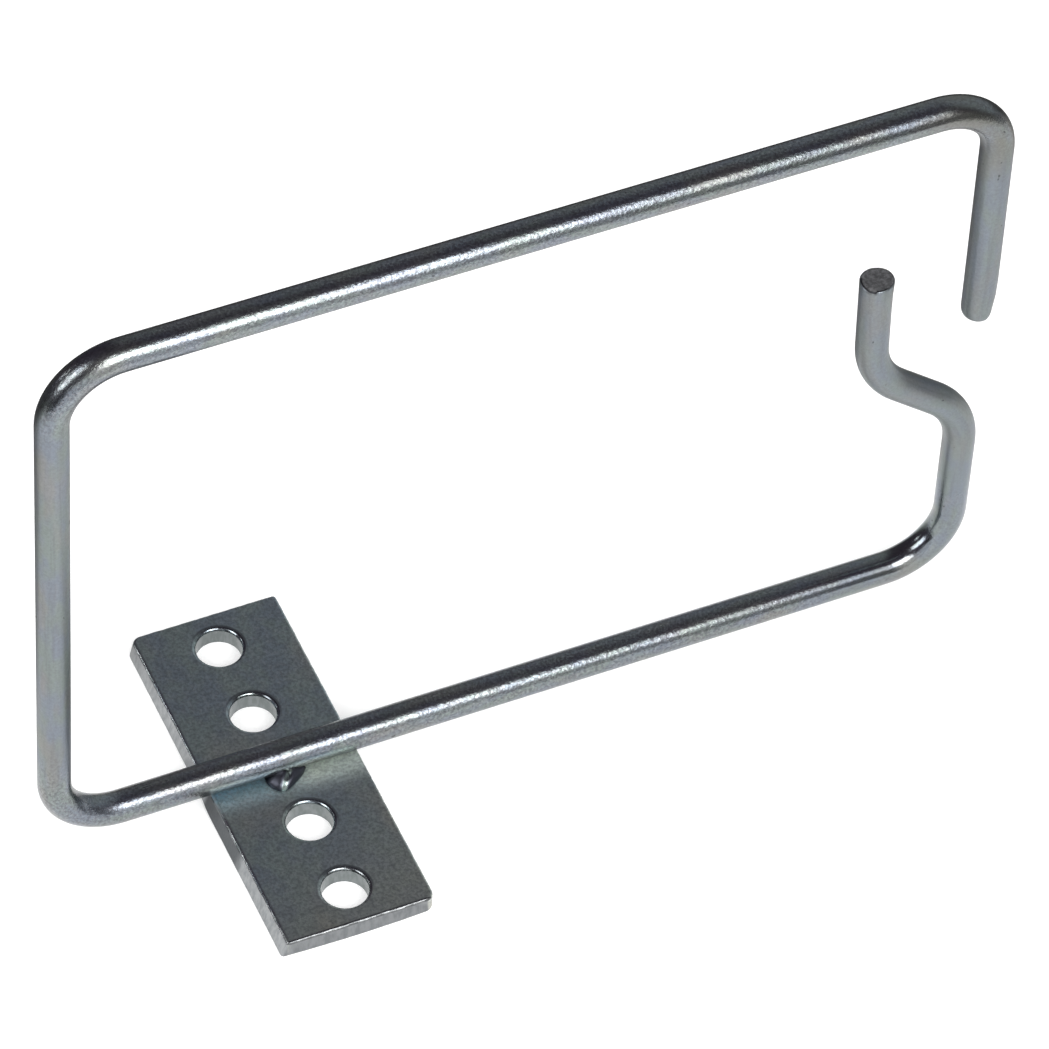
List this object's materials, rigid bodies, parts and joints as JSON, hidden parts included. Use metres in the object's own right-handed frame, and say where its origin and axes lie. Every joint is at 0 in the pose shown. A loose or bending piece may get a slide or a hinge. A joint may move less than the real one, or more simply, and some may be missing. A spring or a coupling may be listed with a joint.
{
  "type": "cable holder",
  "caption": "Wall cable holder: an open rectangular wire ring with an overlapping hook-in gap, welded across a flat drilled mounting plate.",
  "frame": {"origin": "centre of the mounting plate's back face, on the line where the ring stands", "axes": "+X along the ring's long bars towards its open side, +Y along the plate, +Z out of the surface that the plate is screwed to"},
  "size_m": [0.15, 0.062, 0.108],
  "materials": {
    "zinc_wire": "bright zinc plating on drawn steel wire, satin",
    "zinc_plate": "bright zinc plating on cold rolled sheet, satin",
    "weld_metal": "zinc plated weld bead, smooth and glossy"
  },
  "bodies": {
    "root": {"wire_ring": "zinc_wire", "mounting_plate": "zinc_plate", "front_weld": "weld_metal", "rear_weld": "weld_metal"}
  },
  "joints": []
}
